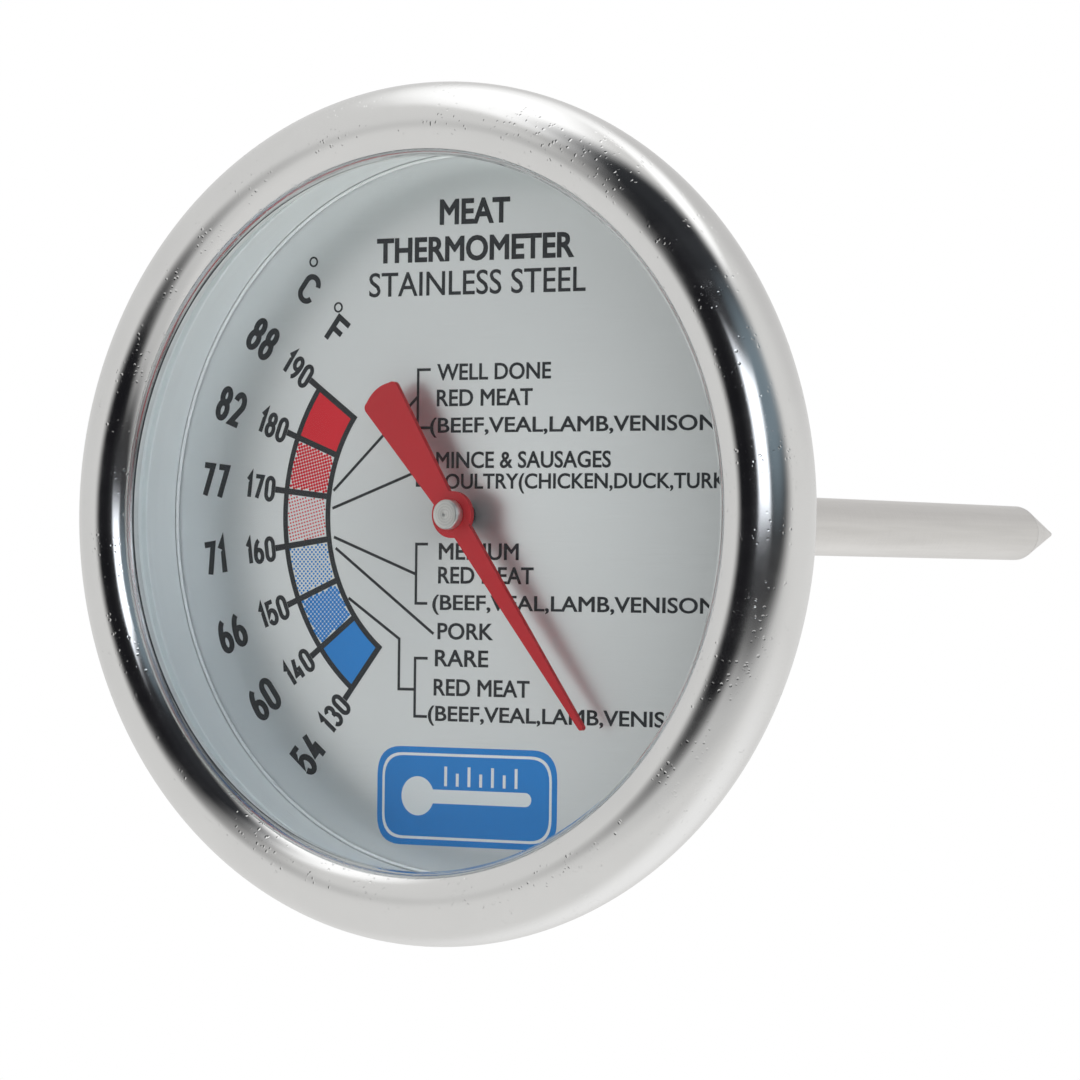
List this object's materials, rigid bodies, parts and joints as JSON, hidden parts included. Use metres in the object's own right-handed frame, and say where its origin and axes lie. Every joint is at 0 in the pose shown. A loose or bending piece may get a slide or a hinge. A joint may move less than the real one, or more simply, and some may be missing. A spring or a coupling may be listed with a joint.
{
  "type": "dial meat thermometer",
  "caption": "Round dial thermometer with a rolled steel bezel, glass lens, red pointer and a pointed stem for pushing into meat.",
  "frame": {"origin": "on the stem's axis, in the plane of the flat back of the case, where the stem leaves it", "axes": "-Y towards the reader of the dial, +Y along the stem to its point, +Z to twelve o'clock, +X to three o'clock"},
  "size_m": [0.076, 0.1246, 0.076],
  "materials": {
    "polished_steel": "polished stainless steel",
    "satin_steel": "satin stainless steel",
    "bright_ring": "bright pale metal",
    "dial": "brushed sheet with printed scale",
    "gasket": "pale rubber",
    "glass": "clear",
    "nylon": "plain",
    "brass": "turned",
    "bimetal": "rolled strip",
    "red_enamel": "satin red enamel",
    "turned_steel": "turned and plated",
    "black_plastic": "plain black"
  },
  "bodies": {
    "case": {"bezel_ring": "polished_steel", "case_back": "polished_steel", "lens_gasket": "gasket", "glass_lens": "glass", "spacer_ring": "bright_ring", "dial_plate": "dial", "stem_bushing": "satin_steel", "bushing_lock_ring": "brass", "stem_tube": "satin_steel", "stem_tip": "satin_steel", "upper_bearing": "nylon", "lower_bearing": "nylon", "coil_anchor": "satin_steel", "bimetal_coil": "bimetal"},
    "movement": {"pointer": "red_enamel", "pointer_pin": "turned_steel", "pointer_sleeve": "black_plastic", "spindle": "satin_steel", "spindle_stop_collar": "brass", "coil_collet": "brass"}
  },
  "joints": [
    {"name": "pointer_spin", "type": "hinge", "parent": "case", "child": "movement", "pos_m": [0, 0, 0], "axis": [0, 1, 0], "range_deg": [-68, 176], "stiffness_Nm_per_rad": 0.0025, "deforming": ["bimetal_coil"]}
  ]
}
